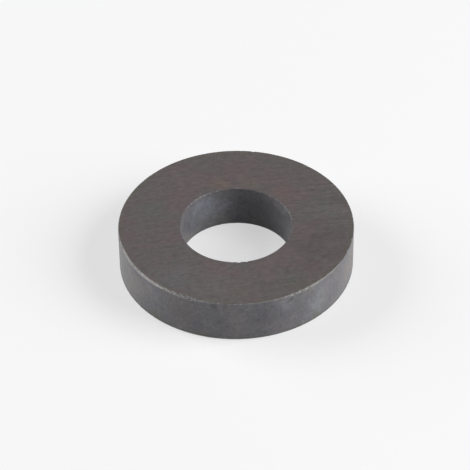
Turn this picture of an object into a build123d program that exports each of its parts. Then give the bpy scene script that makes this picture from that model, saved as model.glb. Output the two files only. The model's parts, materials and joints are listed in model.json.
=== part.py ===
from build123d import *
import os
from math import atan, cos, degrees, radians, sin, sqrt

# A ring magnet of hard ferrite: one piece, pressed in a die, sintered, and then ground flat
# and parallel on its two faces. The outer wall and the bore keep the skin of the kiln.
# Millimetres and degrees. The origin is the centre of the lower face, and +Z is the axis.

# ---- The ring ----
OUTER_DIAMETER = 45.4
BORE_DIAMETER = 21.6
THICKNESS = 9.0
SINTERED_DENSITY = 4.9e-3  # grams per cubic millimetre, for a hard ferrite

# ---- The bevels ----
# The die presses a 45 degree bevel on every edge, and grinding takes most of it away. A LEG
# is the bevel's mean width, measured along the face or the wall. The upper face was ground a
# little out of parallel with its bevels, so they are wider on one side: SWING is how much
# wider, and WIDE_AT is the direction of that side, from +X towards +Y.
OUTER_TOP_LEG = 0.19
OUTER_TOP_SWING = 0.12
OUTER_TOP_WIDE_AT = -160.0
BORE_TOP_LEG = 0.06
BORE_TOP_SWING = 0.03
BORE_TOP_WIDE_AT = 125.0
OUTER_BOTTOM_LEG = 0.20
BORE_BOTTOM_LEG = 0.24

# ---- The chips ----
# Ferrite is brittle and chips along its edges. Each chip is a scoop: the direction of its
# middle, its length along the edge, and its depth below the bevel.
OUTER_TOP_CHIPS = [
    (-172.0, 0.55, 0.08),
    (-149.0, 0.60, 0.09),
    (-118.0, 0.70, 0.12),
    (-115.0, 0.95, 0.18),
    (-112.3, 0.75, 0.15),
    (-110.3, 0.60, 0.13),
    (-107.0, 0.80, 0.14),
    (-88.0, 0.45, 0.07),
    (-65.5, 0.60, 0.13),
    (-58.0, 0.70, 0.15),
    (-44.0, 0.50, 0.09),
    (-21.0, 0.55, 0.08),
    (81.0, 0.85, 0.16),
]
BORE_TOP_CHIPS = [
    (134.0, 0.80, 0.14),
    (127.0, 0.65, 0.12),
    (122.0, 0.60, 0.11),
    (58.0, 0.40, 0.08),
    (47.0, 0.50, 0.09),
    (33.0, 0.45, 0.09),
    (27.0, 0.40, 0.08),
    (15.0, 0.45, 0.08),
    (-79.5, 0.65, 0.13),
    (-87.0, 0.90, 0.18),
]

# How far a bevel's cutter reaches past the ring, to leave no skin behind
CUTTER_MARGIN = 1.0


class Rim:
    """One edge of the ring, as the sharp corner that its bevel and chips are cut from."""

    def __init__(self, diameter, level, outward, upward, leg, swing=0.0, wide_at=0.0):
        self.radius = diameter / 2
        self.level = level
        self.outward = outward  # 1 on the outer wall, -1 in the bore
        self.upward = upward  # 1 on the upper face, -1 on the lower one
        self.leg = leg
        self.swing = swing
        self.wide_at = wide_at

    def point(self, out, up):
        """A point of the XZ section, given from the corner: away from the solid is positive."""
        return (self.radius + self.outward * out, 0, self.level + self.upward * up)

    def bevel(self):
        """The stock that the bevel removes: a triangle swept round, tilted to its wide side."""
        reach = self.leg + CUTTER_MARGIN
        corners = [
            self.point(-reach, CUTTER_MARGIN),
            self.point(CUTTER_MARGIN, -reach),
            self.point(CUTTER_MARGIN, CUTTER_MARGIN),
        ]
        band = revolve(make_face(Polyline(*corners, close=True)), Axis.Z)
        if self.swing:
            across = radians(self.wide_at + 90)
            hinge = Axis((0, 0, self.level), (cos(across), sin(across), 0))
            band = band.rotate(hinge, self.upward * degrees(atan(self.swing / self.radius)))
        return band

    def chip(self, direction, length, depth):
        """The ball that scoops a chip of this length and depth out of the bevel."""
        ball_radius = (length**2 / 4 + depth**2) / (2 * depth)
        leg_here = self.leg + self.swing * cos(radians(direction - self.wide_at))
        stand_off = (ball_radius - depth) / sqrt(2) - leg_here / 2
        centre = Vector(*self.point(stand_off, stand_off)).rotate(Axis.Z, direction)
        return Pos(centre) * Sphere(ball_radius)


def blank():
    """The ring as ground, with sharp edges."""
    standing = (Align.CENTER, Align.CENTER, Align.MIN)
    disc = Cylinder(OUTER_DIAMETER / 2, THICKNESS, align=standing)
    return disc - Cylinder(BORE_DIAMETER / 2, THICKNESS, align=standing)


def ring_magnet():
    """The whole magnet: the blank, less its bevels and chips."""
    outer_top = Rim(
        OUTER_DIAMETER, THICKNESS, 1, 1, OUTER_TOP_LEG, OUTER_TOP_SWING, OUTER_TOP_WIDE_AT
    )
    bore_top = Rim(
        BORE_DIAMETER, THICKNESS, -1, 1, BORE_TOP_LEG, BORE_TOP_SWING, BORE_TOP_WIDE_AT
    )
    outer_bottom = Rim(OUTER_DIAMETER, 0, 1, -1, OUTER_BOTTOM_LEG)
    bore_bottom = Rim(BORE_DIAMETER, 0, -1, -1, BORE_BOTTOM_LEG)

    magnet = blank()
    for rim in (outer_top, bore_top, outer_bottom, bore_bottom):
        magnet -= rim.bevel()
    for rim, chips in ((outer_top, OUTER_TOP_CHIPS), (bore_top, BORE_TOP_CHIPS)):
        for direction, length, depth in chips:
            magnet -= rim.chip(direction, length, depth)
    return magnet.solid()


os.makedirs("parts", exist_ok=True)
magnet = ring_magnet()
magnet.label = "ring_magnet"
export_step(magnet, "parts/ring_magnet.step")
print(f"ring_magnet: {magnet.volume:.1f} mm3, {magnet.volume * SINTERED_DENSITY:.2f} g")
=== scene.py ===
# %% [markdown]
# # A ring magnet of sintered ferrite
#
# The object is one ring of hard ferrite, the dark grey ceramic of loudspeaker and
# fridge-door magnets. The powder is pressed in a die, fired until it shrinks and fuses, and
# then the two flat faces are ground. So one piece shows three surfaces: the ground faces,
# the kiln skin on the outer wall and in the bore, and the fresh breaks along its edges.
#
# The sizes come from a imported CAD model, which this script never moves or changes. A finer
# mesh stands in for it here, because crumbled edges need more detail than a collision model
# should carry.

# %% Load the frame
import json
import math

import bpy
import numpy as np
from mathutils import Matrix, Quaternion, Vector, noise


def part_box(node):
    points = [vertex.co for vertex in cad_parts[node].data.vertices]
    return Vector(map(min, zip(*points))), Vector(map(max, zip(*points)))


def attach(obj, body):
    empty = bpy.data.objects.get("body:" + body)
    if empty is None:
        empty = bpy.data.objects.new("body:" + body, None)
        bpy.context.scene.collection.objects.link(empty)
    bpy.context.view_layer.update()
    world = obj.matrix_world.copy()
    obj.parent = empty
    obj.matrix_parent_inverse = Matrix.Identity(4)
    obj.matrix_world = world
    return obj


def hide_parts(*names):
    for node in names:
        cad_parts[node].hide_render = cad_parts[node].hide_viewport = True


MM = 0.001  # Blender's unit is the metre, and lengths below are written as so many MM
NODE = "ring_magnet"

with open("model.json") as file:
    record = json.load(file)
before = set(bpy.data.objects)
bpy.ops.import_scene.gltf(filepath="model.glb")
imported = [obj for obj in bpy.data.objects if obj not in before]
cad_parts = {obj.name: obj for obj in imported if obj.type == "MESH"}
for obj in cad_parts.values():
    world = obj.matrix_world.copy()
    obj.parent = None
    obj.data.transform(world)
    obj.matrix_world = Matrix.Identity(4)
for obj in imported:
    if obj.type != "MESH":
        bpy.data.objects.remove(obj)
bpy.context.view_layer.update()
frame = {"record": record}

low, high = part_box(NODE)
outer_radius = (high.x - low.x) / 2
thickness = high.z - low.z
mounts = {mount["name"]: mount for mount in frame["record"]["mounts"]}
bore_radius = mounts["bore"]["dims"]["r_mm"] * MM
print(f"ring radii {outer_radius / MM:.2f} and {bore_radius / MM:.2f} mm")
print(f"ring thickness {thickness / MM:.2f} mm")

# %% [markdown]
# ## The camera
#
# A long lens half a metre away, looking down at 41 degrees, keeps the ring's ellipses almost
# free of perspective. The camera is placed from what it aims at, its elevation, its distance
# and a very small roll, which a hand-set tripod head leaves.

# %% Camera
AIM = Vector((-0.21, 2.21, 4.5)) * MM
ELEVATION = math.radians(40.88)
DISTANCE = 489.9 * MM
ROLL = math.radians(-0.75)
LENS_MM = 193.1

toward_camera = Vector((0, -math.cos(ELEVATION), math.sin(ELEVATION)))
camera = bpy.data.objects.new("camera", bpy.data.cameras.new("camera"))
bpy.context.scene.collection.objects.link(camera)
camera.data.lens = LENS_MM
camera.location = AIM + DISTANCE * toward_camera
camera.rotation_mode = "QUATERNION"
level_view = (-toward_camera).to_track_quat("-Z", "Y")
camera.rotation_quaternion = level_view @ Quaternion((0, 0, 1), ROLL)
bpy.context.scene.camera = camera
print("camera at", [round(c / MM, 1) for c in camera.location], "mm")

# %% [markdown]
# ## The edges: bevels
#
# The die presses a 45 degree bevel on every edge, and grinding the face takes most of it off
# again. The face is never ground quite parallel to the bevel, so the band that is left is
# wide on one side and a hairline on the other.
#
# A modifier could bevel the edges, but only to one width. Here the width is a smooth closed
# curve through a few stations round the ring, which is easy to read and to change.

# %% Bevel widths
# (direction in degrees from +X towards +Y, width along the face in mm)
OUTER_TOP_WIDTHS = [
    (-176, 0.12), (-160, 0.36), (-136, 0.35), (-121, 0.28), (-104, 0.16), (-85, 0.13),
    (-70, 0.15), (-62, 0.24), (-50, 0.27), (-40, 0.16), (-26, 0.08), (60, 0.05),
    (130, 0.06),
]
BORE_TOP_WIDTHS = [
    (-150, 0.03), (-60, 0.04), (10, 0.08), (45, 0.07), (90, 0.04), (132, 0.09),
    (158, 0.03),
]
OUTER_BOTTOM_WIDTHS = [(-90, 0.18), (90, 0.18)]
BORE_BOTTOM_WIDTHS = [(-90, 0.24), (90, 0.24)]


def round_the_ring(stations, angle):
    """The value at each angle of a smooth closed curve through (degrees, value) stations."""
    at = np.radians([degrees for degrees, _ in stations])
    at = np.concatenate([at - 2 * math.pi, at, at + 2 * math.pi])
    value = np.tile([width for _, width in stations], 3)
    before = np.searchsorted(at, angle, side="right") - 1
    share = (angle - at[before]) / (at[before + 1] - at[before])
    share = share * share * (3 - 2 * share)
    return value[before] * (1 - share) + value[before + 1] * share


SEGMENTS = 1200
angle = np.linspace(-math.pi, math.pi, SEGMENTS, endpoint=False)
widths = round_the_ring(OUTER_TOP_WIDTHS, angle)
print(f"upper outer bevel {widths.min():.2f} to {widths.max():.2f} mm wide")

# %% [markdown]
# ## The edges: chips and crumbs
#
# Ferrite is as brittle as china. An edge loses a small scoop when two magnets snap together,
# and crumbles finely wherever the grinding wheel left it sharp. Each scoop is a ball that
# bites the edge: its direction, its length along the edge and its depth.
#
# The big chips are listed one by one, because they are this ring's own marks. The crumbs are
# too many for that, so a seeded random draw scatters them, thicker where the edge is worst.

# %% Chips and crumbs
# (direction in degrees, length in mm, depth in mm)
OUTER_TOP_CHIPS = [
    (-172, 0.50, 0.06), (-126.5, 0.80, 0.12), (-122.0, 0.90, 0.16), (-118.5, 1.10, 0.20),
    (-115.3, 0.90, 0.18), (-113.2, 1.30, 0.28), (-110.0, 1.00, 0.20), (-107, 0.80, 0.15),
    (-103.5, 0.60, 0.10), (-88, 0.45, 0.07), (-65.5, 0.60, 0.10), (-62, 0.65, 0.11),
    (-58, 0.80, 0.13), (-53.5, 0.65, 0.10), (-46.8, 0.55, 0.10), (-40.3, 0.45, 0.08),
    (-21, 0.45, 0.07), (81, 0.70, 0.12),
]
BORE_TOP_CHIPS = [
    (135, 0.80, 0.14), (128, 0.75, 0.13), (124, 0.60, 0.11), (52, 0.50, 0.09),
    (33, 0.40, 0.07), (26, 0.40, 0.08), (15, 0.35, 0.06),
    (-79.5, 0.60, 0.10), (-87.5, 0.70, 0.12), (-94, 0.50, 0.08),
]
CRUMB_LENGTHS = (0.15, 0.45)  # mm
CRUMB_DEPTH = 0.12  # of a crumb's own length
SEED = 7

draw = np.random.default_rng(SEED)


def crumbs(count, thick=()):
    """So many small bites round an edge, with more of them near the thick directions."""
    direction = list(draw.uniform(-180, 180, count))
    for middle, spread, extra in thick:
        direction += list(draw.normal(middle, spread, extra))
    length = draw.uniform(*CRUMB_LENGTHS, len(direction))
    return [(at, long, long * CRUMB_DEPTH) for at, long in zip(direction, length)]


# (middle in degrees, spread in degrees, how many more)
OUTER_CRUMBLED = [(-112, 5, 14), (-142, 14, 16), (-56, 8, 10)]
BORE_CRUMBLED = [(134, 10, 22), (38, 12, 6)]

outer_top_bites = OUTER_TOP_CHIPS + crumbs(50, OUTER_CRUMBLED)
bore_top_bites = BORE_TOP_CHIPS + crumbs(20, BORE_CRUMBLED)
outer_bottom_bites = crumbs(40)
bore_bottom_bites = crumbs(12)
print("bites on the outer upper edge:", len(outer_top_bites))

# %% [markdown]
# ## The section
#
# The mesh is a closed section swept round the axis, which keeps every face a neat quad. Each
# edge gets closely spaced points, and the walls and faces between get few. Near an edge, a
# point can slide along a line from its place on the sharp corner towards an anchor inside
# the ring. That slide is all that a bevel or a bite has to change.

# %% Section points
REACH = 1.2 * MM  # how far from a corner its anchor lies, each way
FINE = np.array([0, 0.05, 0.10, 0.15, 0.20, 0.26, 0.33, 0.42, 0.55, 0.80, 1.20]) * MM
COARSE = np.array([0, 0.08, 0.17, 0.30, 0.60, 1.20]) * MM


class Edge:
    """One of the ring's four corners, with the points that its section needs."""

    def __init__(self, radius, level, outward, upward, offsets, widths, bites, painted_highlight=False):
        self.radius = radius
        self.level = level
        self.outward = outward  # 1 on the outer wall, -1 in the bore
        self.upward = upward  # 1 on the upper face, -1 on the lower one
        self.offsets = offsets
        self.widths = round_the_ring(widths, angle) * MM
        self.bites = bites
        self.painted_highlight = painted_highlight  # whether its wide bevel is painted pale, a painted highlight

    def place(self, out, up):
        """Radius and height of a point given from the corner, outwards and upwards."""
        return self.radius + self.outward * out, self.level + self.upward * up

    def path(self):
        """Its points on the sharp corner, from the face, over the corner, down the wall."""
        face = [(-offset, 0) for offset in self.offsets[:0:-1]]
        wall = [(0, -offset) for offset in self.offsets[1:]]
        return face + [(0, 0)] + wall


outer_top = Edge(
    outer_radius, thickness, 1, 1, FINE, OUTER_TOP_WIDTHS, outer_top_bites, painted_highlight=True
)
outer_bottom = Edge(outer_radius, 0, 1, -1, COARSE, OUTER_BOTTOM_WIDTHS, outer_bottom_bites)
bore_bottom = Edge(bore_radius, 0, -1, -1, COARSE, BORE_BOTTOM_WIDTHS, bore_bottom_bites)
bore_top = Edge(bore_radius, thickness, -1, 1, FINE, BORE_TOP_WIDTHS, bore_top_bites)
print("points over a fine edge:", len(outer_top.path()))

# %% [markdown]
# ## How far each point slides
#
# The slide of a point is a share of the way from its anchor to the sharp corner, and every
# cutter says how much share it leaves: the bevel's plane, and each ball at the place where
# the line first enters it. The least of these wins. A little noise on the balls' size gives
# the broken surfaces their grain.

# %% Slides
GRAIN = 0.22 * MM  # the size of the lumps on a broken surface
GRAIN_SHARE = 0.16  # how much the lumps change a ball's radius
BEVEL_RIPPLE = 0.12  # how much a bevel's width wanders, as a share of it
RIPPLE_LENGTH = 0.9 * MM


def noise_at(points, size):
    """Smooth noise from -1 to 1 at an array of points, with features of the given size."""
    flat = points.reshape(-1, 3) / size
    return np.array([noise.noise(point) for point in flat]).reshape(points.shape[:-1])


def swept(radius, height):
    """The points of a section at every angle: an array of (points, segments, xyz)."""
    radius = np.asarray(radius)[:, None]
    height = np.asarray(height)[:, None] + 0 * angle
    return np.stack([radius * np.cos(angle), radius * np.sin(angle), height], axis=-1)


def bevel_share(edge, out, up):
    """The share of the way to the sharp corner that the bevel leaves of each point."""
    rim = swept([edge.radius], [edge.level])
    ripple = 1 + BEVEL_RIPPLE * noise_at(rim, RIPPLE_LENGTH)
    leg = edge.widths * ripple
    return (2 * REACH - leg) / (out + up + 2 * REACH)[:, None]


def bite_share(edge, anchors, corners, bite, grain):
    """The share that one ball leaves: where each line first enters it, or more than 1."""
    degrees, length, depth = bite
    length, depth = length * MM, depth * MM
    ball = (length**2 / 4 + depth**2) / (2 * depth)
    direction = math.radians(degrees)
    width = np.interp(direction, angle, edge.widths)
    stand_off = (ball - depth) / math.sqrt(2) - width / 2
    radius, height = edge.place(stand_off, stand_off)
    centre = np.array([radius * math.cos(direction), radius * math.sin(direction), height])
    line = corners - anchors
    start = anchors - centre
    a = (line * line).sum(-1)
    b = (line * start).sum(-1)
    c = (start * start).sum(-1) - (ball * (1 + GRAIN_SHARE * grain)) ** 2
    inside = b * b - a * c
    entry = (-b - np.sqrt(np.maximum(inside, 0))) / a
    return np.where((inside > 0) & (entry > 0), entry, 2.0)


def edge_surface(edge):
    """An edge's points after its cutters, with how deep each was broken, in metres."""
    out, up = np.array(edge.path()).T
    corners = swept(*edge.place(out, up))
    anchors = swept(*edge.place(np.full_like(out, -REACH), np.full_like(up, -REACH)))
    grain = noise_at(corners, GRAIN)
    whole = np.minimum(bevel_share(edge, out, up), 1)
    share = whole
    for bite in edge.bites:
        share = np.minimum(share, bite_share(edge, anchors, corners, bite, grain))
    line = corners - anchors
    broken = (whole - share) * np.linalg.norm(line, axis=-1)
    cut = whole < 1
    return anchors + share[..., None] * line, broken, cut


for edge in (outer_top, outer_bottom, bore_bottom, bore_top):
    edge.points, edge.broken, edge.cut = edge_surface(edge)
print(f"deepest break {outer_top.broken.max() / MM:.2f} mm")

# %% [markdown]
# ## The mesh
#
# The section's rows run over the upper outer edge, down the wall, under the ring, up the bore
# and back across the upper face. Each quad is given the finish of its place: ground on the
# faces, kiln skin on the walls and the narrow bevels, a pale painted highlight on the wide
# parts of the outer upper bevel, and broken where a ball bit it.

# %% Mesh
# The third finish is a pale bevel, a painted highlight.
GROUND, SKIN, HIGHLIT_BEVEL, BROKEN = range(4)
BETWEEN = 4  # rows across each wall and face, between its two edges
HIGHLIGHT_FROM = 0.11 * MM  # a narrower bevel keeps the skin finish and gets no painted highlight
BROKEN_FROM = 0.008 * MM  # a bite shallower than this hasn't gone through the surface


def rows_between(first, last, count=BETWEEN):
    """Rows of points evenly spaced between two rows, which are left out."""
    shares = np.linspace(0, 1, count + 2)[1:-1, None, None]
    return first + (last - first) * shares


parts = []  # (points, finish of the quads that start at each row, broken depth)


def lay(points, finish, broken=None):
    """Adds rows to the section, with the finish of the band that each row starts."""
    depth = np.zeros(points.shape[:2]) if broken is None else broken
    parts.append((points, np.broadcast_to(finish, points.shape[:2]), depth))


def over(edge, down):
    """Lays an edge's rows: from face to wall if down is true, else from wall to face."""
    face_rows = len(edge.offsets)
    finish = np.full(edge.cut.shape, SKIN)
    finish[:face_rows] = GROUND
    # The wide bevel of the outer upper edge is painted pale, as a highlight.
    wide = (edge.widths > HIGHLIGHT_FROM) & edge.painted_highlight
    finish[edge.cut & wide] = HIGHLIT_BEVEL
    finish[edge.cut & ~wide] = SKIN
    if down:
        lay(edge.points, finish, edge.broken)
    else:
        lay(edge.points[::-1], finish[::-1], edge.broken[::-1])


over(outer_top, down=True)
lay(rows_between(outer_top.points[-1], outer_bottom.points[-1]), SKIN)
over(outer_bottom, down=False)
lay(rows_between(outer_bottom.points[0], bore_bottom.points[0]), GROUND)
over(bore_bottom, down=True)
lay(rows_between(bore_bottom.points[-1], bore_top.points[-1]), SKIN)
over(bore_top, down=False)
lay(rows_between(bore_top.points[0], outer_top.points[0]), GROUND)

rows = np.concatenate([points for points, _, _ in parts])
finish = np.concatenate([f for _, f, _ in parts])
depth = np.concatenate([d for _, _, d in parts])

row_count = len(rows)
row, column = np.meshgrid(np.arange(row_count), np.arange(SEGMENTS), indexing="ij")
next_row, next_column = (row + 1) % row_count, (column + 1) % SEGMENTS
quads = np.stack([
    row * SEGMENTS + column,
    next_row * SEGMENTS + column,
    next_row * SEGMENTS + next_column,
    row * SEGMENTS + next_column,
], axis=-1).reshape(-1, 4)
quad_depth = depth.reshape(-1)[quads].mean(axis=1)
quad_finish = np.where(quad_depth > BROKEN_FROM, BROKEN, finish.reshape(-1))

mesh = bpy.data.meshes.new("ring")
mesh.from_pydata(rows.reshape(-1, 3).tolist(), [], quads.tolist())
mesh.polygons.foreach_set("use_smooth", np.ones(len(quads), bool))
ring = bpy.data.objects.new("ring", mesh)
bpy.context.scene.collection.objects.link(ring)
mesh.update()
print(f"ring: {row_count} rows, {2 * len(quads)} triangles")
print("quads ground, skin, rubbed, broken:", np.bincount(quad_finish))

# %% [markdown]
# ## Tools for the finishes
#
# Each finish is a node tree, and a few small helpers keep the trees readable. One turns a
# colour as a painter names it, in sRGB hex, into the linear light that the renderer works
# in. One adds a node with its settings and its links. Every pattern takes its scale from a
# real size in millimetres: a noise texture's scale is how many of its features fit in a
# metre.
#
# Sockets are named by number where Blender gives several the same name. A Map Range node's
# sockets 0 to 4 are the value, the two ends it comes from, and the two ends it goes to.

# %% Node helpers
def linear(code):
    """An sRGB hex colour as linear red, green, blue and alpha."""
    values = [int(code[start:start + 2], 16) / 255 for start in (1, 3, 5)]
    light = [v / 12.92 if v <= 0.04045 else ((v + 0.055) / 1.055) ** 2.4 for v in values]
    return (*light, 1.0)


def add(tree, kind, settings=None, links=None):
    """Adds a node. Settings are its own values or its sockets' numbers, links feed sockets."""
    node = tree.nodes.new("ShaderNode" + kind)
    for name, value in (settings or {}).items():
        if isinstance(name, str) and hasattr(node, name):
            setattr(node, name, value)
        else:
            node.inputs[name].default_value = value
    for name, output in (links or {}).items():
        tree.links.new(output, node.inputs[name])
    return node


def per(size_mm):
    """The texture scale whose features are this many millimetres across."""
    return 1 / (size_mm * MM)


def new_finish(name):
    """A material, its node tree and its shader, ready to be wired."""
    material = bpy.data.materials.new(name)
    material.use_nodes = True
    tree = material.node_tree
    return material, tree, tree.nodes["Principled BSDF"]


A, B, MIXED = 6, 7, 2  # a colour Mix node's two inputs and its output
FERRITE_IOR = 1.5  # the default; the dull surface hides the ceramic's higher one
print("middle grey in linear light:", [round(v, 3) for v in linear("#808080")])

# %% [markdown]
# ## Stains and painted light
#
# Noise alone can't put a stain in its own place, so every stain is listed: a middle, a radius
# and a colour. The place is shaken by a noise first, which turns round spots into ragged
# clouds. The faces, the walls and the edges share these tools.
# Some of these patches are no stains but painted shade and painted highlights: on the outer
# wall, in the bore and along the outer upper edge.

# %% Stains and painted light
PATCH_RAGGED = 0.9  # how far noise moves a patch's outline, as a share of its radius
PATCH_GRAIN = 2.2  # mm, the size of the rags
NOISE_MIDDLE = 0.5
LOW_COLOUR_AT, HIGH_COLOUR_AT = 0.34, 0.66  # the noise at which a mottle's end colour is whole
NOISE_LOW, NOISE_HIGH = 0.3, 0.7  # the noise values between which shading runs


def on_face(x, y):
    """The middle of a stain on the upper face, from millimetres."""
    return (x * MM, y * MM, thickness)


def on_wall(radius, degrees, height):
    """The middle of a patch on a wall, from its direction and its height in mm."""
    turn = math.radians(degrees)
    return (radius * math.cos(turn), radius * math.sin(turn), height * MM)


def patched(tree, place, colour, patches):
    """The colour with soft, ragged patches over it, each (middle, radius, strength, colour):
    stains, and in some lists painted shade and painted highlights.
    """
    lumps = add(tree, "TexNoise", {"Scale": per(PATCH_GRAIN), "Detail": 4}, {"Vector": place})
    centred = {"operation": "SUBTRACT", 1: (NOISE_MIDDLE, NOISE_MIDDLE, NOISE_MIDDLE)}
    rags = add(tree, "VectorMath", centred, {0: lumps.outputs["Color"]}).outputs["Vector"]
    for middle, radius, strength, code in patches:
        push = 2 * PATCH_RAGGED * radius * MM
        shake = {"operation": "MULTIPLY_ADD", 1: (push, push, push)}
        shaken = add(tree, "VectorMath", shake, {0: rags, 2: place}).outputs["Vector"]
        away = add(tree, "VectorMath", {"operation": "DISTANCE", 1: middle}, {0: shaken})
        fade = {"interpolation_type": "SMOOTHSTEP", 1: radius * MM, 2: 0, 4: strength}
        share = add(tree, "MapRange", fade, {0: away.outputs["Value"]})
        patch = {"data_type": "RGBA", B: linear(code)}
        colour = add(tree, "Mix", patch, {0: share.outputs[0], A: colour}).outputs[MIXED]
    return colour


def mottled(tree, pattern, low_colour, mid_colour, high_colour):
    """A colour that drifts both ways from the middle one, as a noise pattern does."""
    to_low = add(tree, "MapRange", {1: NOISE_MIDDLE, 2: LOW_COLOUR_AT}, {0: pattern})
    to_high = add(tree, "MapRange", {1: NOISE_MIDDLE, 2: HIGH_COLOUR_AT}, {0: pattern})
    base = {"data_type": "RGBA", A: linear(mid_colour), B: linear(low_colour)}
    colour = add(tree, "Mix", base, {0: to_low.outputs[0]}).outputs[MIXED]
    high = {"data_type": "RGBA", B: linear(high_colour)}
    return add(tree, "Mix", high, {0: to_high.outputs[0], A: colour}).outputs[MIXED]


def shaded(tree, colour, pattern, ends):
    """The colour made darker and lighter by a pattern, between two shares of its light."""
    shares = {1: NOISE_LOW, 2: NOISE_HIGH, 3: ends[0], 4: ends[1]}
    shade = add(tree, "MapRange", shares, {0: pattern})
    links = {0: colour, "Scale": shade.outputs[0]}
    return add(tree, "VectorMath", {"operation": "SCALE"}, links).outputs["Vector"]


print("a stain on the wall:", [round(c / MM, 1) for c in on_wall(outer_radius, -90, 4)])

# %% [markdown]
# ## Finish: ground ferrite
#
# The upper and lower faces are sintered strontium ferrite cut by a diamond wheel. Grinding
# opens the grain, so the face is a flat, dusty, warm grey with a weak sheen, where the kiln
# skin is cooler and glossier. The wheel leaves fine parallel arcs, part of a circle much
# larger than the ring, because the rings pass under it on a turning table. Everything that
# grinding smears, the colours too, is drawn out along those arcs.
#
# Iron oxide gives the face its colour: redder where the ring was hotter in the kiln or has
# begun to rust, greener where it has not, and olive near the outer rim.

# %% Ground face
GROUND_GREY = "#655E5F"
GROUND_GREEN = "#635F5E"
GROUND_PINK = "#685D5F"
RIM_OLIVE = "#636158"
RIM_BAND = 1.6  # mm of face that turns olive along the outer rim
RIM_STRENGTH = 0.55
CLOUD_SIZE = 3.2  # mm across the arcs
CLOUD_STRETCH = 2.2  # times longer along them
# (x mm, y mm, radius mm, strength, colour)
FACE_STAINS = [
    (16.0, -6.5, 10.0, 0.8, "#5D5456"),
    (-5.0, -17.0, 8.0, 0.8, "#6A6565"),
    (-9.0, 14.0, 7.0, 0.6, "#6A6263"),
    (-3.0, 12.4, 3.0, 0.8, "#706259"),
    (2.6, 12.6, 3.2, 0.6, "#6F6259"),
    (9.6, 9.0, 3.4, 0.6, "#705E5B"),
    (13.2, 8.7, 2.8, 0.6, "#6C5F5C"),
    (-1.0, 16.2, 5.0, 0.6, "#6A5C5D"),
    (7.0, 13.0, 4.0, 0.6, "#6A5C5C"),
    (-7.5, 14.5, 4.0, 0.5, "#685C5D"),
    (-3.5, -13.0, 3.2, 0.7, "#6C5F5F"),
    (5.6, -12.8, 4.0, 0.6, "#6B5F5E"),
    (12.8, -1.8, 4.4, 0.7, "#695D5E"),
    (9.4, -9.2, 3.6, 0.7, "#695D5D"),
    (-17.6, 11.0, 5.0, 0.7, "#64605D"),
    (-15.8, 4.4, 3.6, 0.9, "#606160"),
    (17.0, 4.6, 5.0, 0.9, "#626361"),
    (-9.4, -9.4, 3.8, 0.9, "#63625F"),
    (-12.0, -15.4, 6.4, 0.9, "#666666"),
    (0.0, -19.0, 5.0, 0.7, "#67625E"),
    (11.2, -16.4, 5.2, 0.9, "#5F5E58"),
    (18.0, -6.6, 3.6, 0.8, "#635E59"),
]
WHEEL_CENTRE = (34, -185, 0)  # mm, the middle of the arcs that the wheel leaves
WHEEL_RADIUS = 190  # mm
SCRATCH_WIDTH = 0.36  # mm, coarser than the real 0.1 mm, which is too fine to show
SCRATCH_LENGTH = 16  # mm
DEEPEST_GRINDING = (19 * MM, 6 * MM, thickness)  # the arcs are plainest round here
DEEP_REACH = 16  # mm
FAINTEST_GRINDING = 0.35  # how plain the arcs stay far from there
GRIT_STRETCH = 2  # times longer along the arcs
GRIT_SIZE = 0.7  # mm, likewise drawn coarser than the real grain
# The darkest and the lightest share of the colour that each pattern leaves
GRIT_SHADE = (0.78, 1.22)
SCRATCH_SHADE = (0.80, 1.16)
GROUND_ROUGHNESS = (0.42, 0.6)  # in the scratches and between them
RELIEF = 0.02 * MM  # how deep the finest relief of a surface is taken to be


def along_the_arcs(tree, place, stretch):
    """The place in the wheel's own coordinates, squeezed along its arcs."""
    centre = [c * MM for c in WHEEL_CENTRE]
    arm = add(tree, "VectorMath", {"operation": "SUBTRACT", 1: centre}, {0: place})
    reach = add(tree, "VectorMath", {"operation": "LENGTH"}, {0: arm.outputs["Vector"]})
    sides = add(tree, "SeparateXYZ", links={0: arm.outputs["Vector"]})
    axes = {0: sides.outputs["Y"], 1: sides.outputs["X"]}
    turn = add(tree, "Math", {"operation": "ARCTAN2"}, axes)
    squeeze = {"operation": "MULTIPLY", 1: WHEEL_RADIUS * MM / stretch}
    along = add(tree, "Math", squeeze, {0: turn.outputs[0]})
    return add(tree, "CombineXYZ", links={"X": reach.outputs["Value"], "Y": along.outputs[0]})


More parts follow.
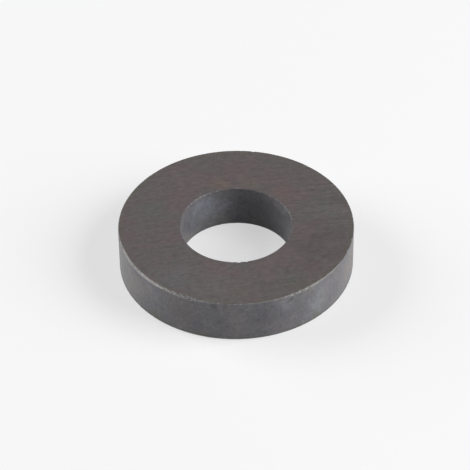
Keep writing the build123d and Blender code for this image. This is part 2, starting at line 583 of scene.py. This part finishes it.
def ground_ferrite():
    material, tree, shader = new_finish("ground_ferrite")
    place = add(tree, "TexCoord").outputs["Object"]
    cloud_place = along_the_arcs(tree, place, CLOUD_STRETCH)
    clouds = {"Scale": per(CLOUD_SIZE), "Detail": 4, "Roughness": 0.6}
    cloud = add(tree, "TexNoise", clouds, {"Vector": cloud_place.outputs[0]}).outputs["Fac"]
    colour = mottled(tree, cloud, GROUND_GREEN, GROUND_GREY, GROUND_PINK)
    patches = [(on_face(x, y), *patch) for x, y, *patch in FACE_STAINS]
    colour = patched(tree, place, colour, patches)

    flat_place = add(tree, "VectorMath", {"operation": "MULTIPLY", 1: (1, 1, 0)}, {0: place})
    length = {"operation": "LENGTH"}
    from_axis = add(tree, "VectorMath", length, {0: flat_place.outputs["Vector"]})
    band = {1: outer_radius - RIM_BAND * MM, 2: outer_radius, 4: RIM_STRENGTH}
    near_rim = add(tree, "MapRange", band, {0: from_axis.outputs["Value"]})
    olive = {"data_type": "RGBA", B: linear(RIM_OLIVE)}
    colour = add(tree, "Mix", olive, {0: near_rim.outputs[0], A: colour}).outputs[MIXED]

    scratch_place = along_the_arcs(tree, place, SCRATCH_LENGTH / SCRATCH_WIDTH)
    scratch = {"Scale": per(SCRATCH_WIDTH), "Detail": 2, "Roughness": 0.6}
    marks = add(tree, "TexNoise", scratch, {"Vector": scratch_place.outputs[0]}).outputs["Fac"]
    grit_place = along_the_arcs(tree, place, GRIT_STRETCH)
    grit = {"Scale": per(GRIT_SIZE), "Detail": 4, "Roughness": 0.8}
    grit = add(tree, "TexNoise", grit, {"Vector": grit_place.outputs[0]}).outputs["Fac"]
    colour = shaded(tree, colour, grit, GRIT_SHADE)

    plain = {"operation": "DISTANCE", 1: DEEPEST_GRINDING}
    away = add(tree, "VectorMath", plain, {0: place}).outputs["Value"]
    fading = {1: DEEP_REACH * MM, 2: 0, 3: FAINTEST_GRINDING, 4: 1}
    depth = add(tree, "MapRange", fading, {0: away})
    lined = shaded(tree, colour, marks, SCRATCH_SHADE)
    mix = {"data_type": "RGBA"}
    colour = add(tree, "Mix", mix, {0: depth.outputs[0], A: colour, B: lined}).outputs[MIXED]
    tree.links.new(colour, shader.inputs["Base Color"])

    dull = {3: GROUND_ROUGHNESS[0], 4: GROUND_ROUGHNESS[1]}
    rough = add(tree, "MapRange", dull, {0: marks})
    tree.links.new(rough.outputs[0], shader.inputs["Roughness"])
    relief = add(tree, "Math", {"operation": "ADD"}, {0: marks, 1: grit})
    bump = {"Strength": 0.4, "Distance": RELIEF}
    bump = add(tree, "Bump", bump, {"Height": relief.outputs[0]})
    tree.links.new(bump.outputs["Normal"], shader.inputs["Normal"])
    shader.inputs["IOR"].default_value = FERRITE_IOR
    return material


# %% [markdown]
# ## Finish: kiln skin
#
# The outer wall and the bore were never ground. Pressing gave them a smooth, slightly
# burnished skin, and firing turned it a cooler, bluer grey than the ground face, mottled
# where the rings touched the kiln's furniture. The die dragged a few faint upright streaks
# into it as the ring was pushed out.
# The listed patches on the walls are stains, and also painted light and shade: darker where
# the outer wall faces the lens, and in the bore darker at the far left, paler on the
# back-left, darker at the back and darkest at the foot.

# %% Kiln skin
SKIN_GREY = "#686669"
SKIN_BLUE = "#66666A"
SKIN_BROWN = "#6A6766"
MOTTLE_SIZE = 3.5  # mm
# (direction in degrees, height mm, radius mm, strength, colour)
WALL_STAINS_AND_SHADE = [
    (-133, 6.4, 3.0, 0.7, "#73757C"),
    (-133, 0.4, 2.6, 0.9, "#5E5E4E"),
    (-117, 4.6, 3.6, 0.6, "#6D6361"),
    (-110, 3.0, 2.8, 0.8, "#5D5C63"),
    (-101, 8.3, 1.4, 0.9, "#4F4D52"),
    (-98, 3.0, 3.0, 0.6, "#5F5D60"),
    # painted shade: the wall darker where it faces the lens
    (-78, 5.0, 6.0, 0.9, "#565459"),
    (-66.5, 7.2, 2.6, 0.7, "#77777C"),
    (-62.9, 8.0, 0.7, 1.0, "#3C3B40"),
    (-64.6, 7.7, 0.6, 0.9, "#47464B"),
    (-56, 2.0, 2.6, 0.6, "#6B6770"),
    (-49, 3.6, 3.6, 0.8, "#797C80"),
    (-48, 7.0, 2.6, 0.7, "#787B80"),
    (-49, 0.2, 1.8, 0.8, "#63645A"),
    (-40, 6.4, 2.8, 0.7, "#757079"),
    (-32, 3.0, 2.6, 0.7, "#6A686C"),
    (-22, 4.4, 3.4, 0.7, "#77706B"),
    (-9, 4.5, 5.0, 0.9, "#69625C"),
    (-150, 4.5, 5.0, 0.8, "#77736F"),
]
# Painted light and shade in the bore: darker at the far left, paler on the back-left wall,
# which the right lamp lights, darker at the back, which faces the lens, and darkest at the
# foot, where the wall meets the bench. Same columns as the wall's.
BORE_LIGHT_AND_SHADE = [
    (172, 5.0, 5.0, 0.9, "#474143"),
    (156, 5.0, 4.8, 0.9, "#46444A"),
    (140, 5.0, 4.4, 0.8, "#606269"),
    (128, 6.0, 4.0, 0.8, "#70757E"),
    (116, 4.5, 4.0, 0.8, "#7C7F89"),
    (106, 4.5, 3.4, 0.8, "#7F7F86"),
    (80, 0.4, 3.6, 0.9, "#333137"),
    (54, 0.4, 3.6, 0.9, "#333137"),
    (80, 5.0, 5.4, 0.8, "#4C494F"),
    (56, 5.0, 5.4, 0.8, "#4D494F"),
    (20, 5.0, 6.6, 1.0, "#414045"),
    (32, 1.0, 3.6, 0.8, "#36353A"),
]
FOOT_OLIVE = "#5A5A4E"
FOOT_BAND = 0.9  # mm of wall that turns olive above the bench
FOOT_STRENGTH = 0.8
DRAG_WIDTH = 0.7  # mm
DRAG_LENGTH = 7  # mm
PIT_SIZE = 0.6  # mm, coarser than the real pits, which are too fine to show
DRAG_SHADE = (0.96, 1.04)
PIT_SHADE = (0.74, 1.26)
MOTTLE_SHADE = (0.86, 1.14)
SKIN_ROUGHNESS = (0.34, 0.5)


def kiln_skin():
    material, tree, shader = new_finish("kiln_skin_ferrite")
    place = add(tree, "TexCoord").outputs["Object"]
    mottle = {"Scale": per(MOTTLE_SIZE), "Detail": 4, "Roughness": 0.6}
    mottle = add(tree, "TexNoise", mottle, {"Vector": place}).outputs["Fac"]
    colour = mottled(tree, mottle, SKIN_BLUE, SKIN_GREY, SKIN_BROWN)
    # stains, with painted shade on the front of the wall and painted light and shade in the
    # bore
    patches = [(on_wall(outer_radius, turn, up), *patch) for turn, up, *patch in WALL_STAINS_AND_SHADE]
    patches += [(on_wall(bore_radius, turn, up), *patch) for turn, up, *patch in BORE_LIGHT_AND_SHADE]
    colour = patched(tree, place, colour, patches)
    height = add(tree, "SeparateXYZ", links={0: place}).outputs["Z"]
    foot = add(tree, "MapRange", {1: FOOT_BAND * MM, 2: 0, 4: FOOT_STRENGTH}, {0: height})
    olive = {"data_type": "RGBA", B: linear(FOOT_OLIVE)}
    colour = add(tree, "Mix", olive, {0: foot.outputs[0], A: colour}).outputs[MIXED]

    squeeze = (1, 1, DRAG_WIDTH / DRAG_LENGTH)
    tall = add(tree, "VectorMath", {"operation": "MULTIPLY", 1: squeeze}, {0: place})
    streaks = {"Scale": per(DRAG_WIDTH), "Detail": 2}
    streaks = add(tree, "TexNoise", streaks, {"Vector": tall.outputs["Vector"]}).outputs["Fac"]
    pits = {"Scale": per(PIT_SIZE), "Detail": 4, "Roughness": 0.75}
    pits = add(tree, "TexNoise", pits, {"Vector": place}).outputs["Fac"]
    colour = shaded(tree, colour, streaks, DRAG_SHADE)
    colour = shaded(tree, colour, pits, PIT_SHADE)
    colour = shaded(tree, colour, mottle, MOTTLE_SHADE)
    tree.links.new(colour, shader.inputs["Base Color"])

    gloss = {3: SKIN_ROUGHNESS[0], 4: SKIN_ROUGHNESS[1]}
    rough = add(tree, "MapRange", gloss, {0: mottle})
    tree.links.new(rough.outputs[0], shader.inputs["Roughness"])
    bump = add(tree, "Bump", {"Strength": 0.3, "Distance": RELIEF}, {"Height": pits})
    tree.links.new(bump.outputs["Normal"], shader.inputs["Normal"])
    shader.inputs["IOR"].default_value = FERRITE_IOR
    return material


# %% [markdown]
# ## Finishes: pale bevel and broken ferrite
#
# A wide bevel on the outer upper edge is painted a paler grey, a painted highlight where it
# turns up to the lamps. A fresh break shows the grain of the ceramic with no skin over it: a
# light, rough grey that scatters light evenly. Both are the same bare ceramic in two tones.

# %% Edges
# The pale bevel's two tones are a painted highlight.
HIGHLIGHT_TONES = ("#72706D", "#82807D")
BROKEN_TONES = ("#706F72", "#979597")
EDGE_GRAIN = 0.4  # mm
EDGE_SHADE = (0.85, 1.15)
EDGE_RELIEF = 0.03 * MM
# Painted highlights: pale patches along the left and front right of the outer upper edge,
# where it turns to the lamps.
# (direction in degrees, height mm, radius mm, strength, colour)
EDGE_HIGHLIGHTS = [
    (-154, 9.0, 4.0, 0.7, "#8A8886"),
    (-140, 9.0, 4.0, 1.0, "#A09E9C"),
    (-130, 9.0, 4.0, 1.0, "#A9A7A5"),
    (-120, 9.0, 3.0, 0.9, "#989694"),
    (-58, 9.0, 4.0, 0.9, "#84827D"),
    (-49, 9.0, 3.0, 0.9, "#84827D"),
]


def bare_ferrite(name, tones, roughness):
    """Ferrite with neither skin nor wheel marks, speckled between two tones, with painted
    highlights along the outer upper edge.
    """
    material, tree, shader = new_finish(name)
    place = add(tree, "TexCoord").outputs["Object"]
    grain = add(tree, "TexNoise", {"Scale": per(EDGE_GRAIN), "Detail": 3}, {"Vector": place})
    mix = {"data_type": "RGBA", A: linear(tones[0]), B: linear(tones[1])}
    colour = add(tree, "Mix", mix, {0: grain.outputs["Fac"]}).outputs[MIXED]
    # painted highlights on the outer upper edge
    patches = [(on_wall(outer_radius, turn, up), *patch) for turn, up, *patch in EDGE_HIGHLIGHTS]
    colour = patched(tree, place, colour, patches)
    colour = shaded(tree, colour, grain.outputs["Fac"], EDGE_SHADE)
    tree.links.new(colour, shader.inputs["Base Color"])
    bump = {"Strength": 0.6, "Distance": EDGE_RELIEF}
    bump = add(tree, "Bump", bump, {"Height": grain.outputs["Fac"]})
    tree.links.new(bump.outputs["Normal"], shader.inputs["Normal"])
    shader.inputs["Roughness"].default_value = roughness
    return material


finishes = [
    ground_ferrite(),
    kiln_skin(),
    # a bevel painted pale, as a highlight
    bare_ferrite("pale_bevel_ferrite", HIGHLIGHT_TONES, roughness=0.5),
    bare_ferrite("broken_ferrite", BROKEN_TONES, roughness=0.7),
]
for material in finishes:
    mesh.materials.append(material)
    print(f"{material.name}: {len(material.node_tree.nodes)} nodes")
mesh.polygons.foreach_set("material_index", quad_finish.astype(np.int32))
mesh.update()

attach(ring, "root")
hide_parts(NODE)

# %% [markdown]
# ## The floor
#
# A white table top that runs past every view. It lies a hair under the ring, so that the two
# flat faces never fight for the same place.
#
# A white studio ground is lit until it is almost paper, and its shadow is paler than the two
# lamps alone would leave it. The camera and the ring's own reflections therefore see
# a flat, glowing white mixed into the lit floor. Every other ray sees the plain white floor,
# which lights the ring.

# %% Floor
TABLE_WHITE = "#E6E6E7"
PAPER_WHITE = "#F7F7F8"
PAPER_SHARE = 0.45  # how much of the seen floor is flat white, the rest being lit
PAPER_GLOW = 1.3  # over 1, because the lit floor in the mix comes out greyer than paper
FLOOR_HALF = 1.5  # metres
FLOOR_DROP = 0.02 * MM


def white_table():
    material, tree, shader = new_finish("white_table")
    shader.inputs["Base Color"].default_value = linear(TABLE_WHITE)
    shader.inputs["Roughness"].default_value = 0.8
    paper = add(tree, "Emission", {"Color": linear(PAPER_WHITE), "Strength": PAPER_GLOW})
    path = add(tree, "LightPath")
    either = {"operation": "ADD", "use_clamp": True}
    rays = {0: path.outputs["Is Camera Ray"], 1: path.outputs["Is Glossy Ray"]}
    seen = add(tree, "Math", either, rays)
    share = add(tree, "Math", {"operation": "MULTIPLY", 1: PAPER_SHARE}, {0: seen.outputs[0]})
    layers = {0: share.outputs[0], 1: shader.outputs[0], 2: paper.outputs[0]}
    both = add(tree, "MixShader", links=layers)
    tree.links.new(both.outputs[0], tree.nodes["Material Output"].inputs["Surface"])
    return material


floor_mesh = bpy.data.meshes.new("floor")
sides = ((-1, -1), (1, -1), (1, 1), (-1, 1))
floor_corners = [(x * FLOOR_HALF, y * FLOOR_HALF, -FLOOR_DROP) for x, y in sides]
floor_mesh.from_pydata(floor_corners, [], [(0, 1, 2, 3)])
floor_mesh.materials.append(white_table())
floor = bpy.data.objects.new("floor", floor_mesh)
bpy.context.scene.collection.objects.link(floor)
print(f"floor {2 * FLOOR_HALF} m square")

# %% [markdown]
# ## Light
# Painted shade on the front of the wall and painted light and shade in the bore add to this.
#
# Two large softboxes light the ring from its sides and leave the camera's side dark. The one
# on the right is the stronger and stands a little towards the camera, and the one on the
# left is lower and a little behind. That is what shapes the ring: the wall is darkest where
# it faces the lens and climbs to a soft sheen at both sides, the left of the bore is bright
# and its back is nearly black, and the floor darkens only left and right.
#
# A lamp's power is worked out from the light that it should give, counted in shares of the
# light under which a colour renders as it is written.

# %% Light
SOFTBOX_DISTANCE = 0.9  # metres
# (name, direction in degrees from +X, elevation in degrees, side in metres, share of light)
SOFTBOXES = [
    ("softbox_left", 162, 24, 0.70, 0.93),
    ("softbox_right", -10, 32, 0.75, 1.22),
]
ROOM_LIGHT = 0.06  # what the room adds to the lamps
ROOM_WHITE = 0.93  # how white the room looks beyond the floor


def softbox(name, direction, elevation, side, share):
    """A square lamp that faces the ring from this direction and elevation."""
    lamp = bpy.data.lights.new(name, "AREA")
    lamp.size = side
    lamp.energy = share * math.pi**2 * SOFTBOX_DISTANCE**2
    stand = bpy.data.objects.new(name, lamp)
    bpy.context.scene.collection.objects.link(stand)
    turn, rise = math.radians(direction), math.radians(elevation)
    flat = math.cos(rise)
    toward = Vector((math.cos(turn) * flat, math.sin(turn) * flat, math.sin(rise)))
    stand.location = toward * SOFTBOX_DISTANCE
    stand.rotation_mode = "QUATERNION"
    stand.rotation_quaternion = toward.to_track_quat("Z", "Y")
    return stand


for box in SOFTBOXES:
    stand = softbox(*box)
    print(stand.name, [round(c, 2) for c in stand.location], f"m, {stand.data.energy:.1f} W")

world = bpy.data.worlds.new("studio")
world.use_nodes = True
bpy.context.scene.world = world
room = world.node_tree
path = add(room, "LightPath")
seen = {3: ROOM_LIGHT, 4: ROOM_WHITE}
strength = add(room, "MapRange", seen, {0: path.outputs["Is Camera Ray"]})
room.links.new(strength.outputs[0], room.nodes["Background"].inputs["Strength"])
room.nodes["Background"].inputs["Color"].default_value = (1, 1, 1, 1)

bpy.context.scene.view_settings.view_transform = "Standard"
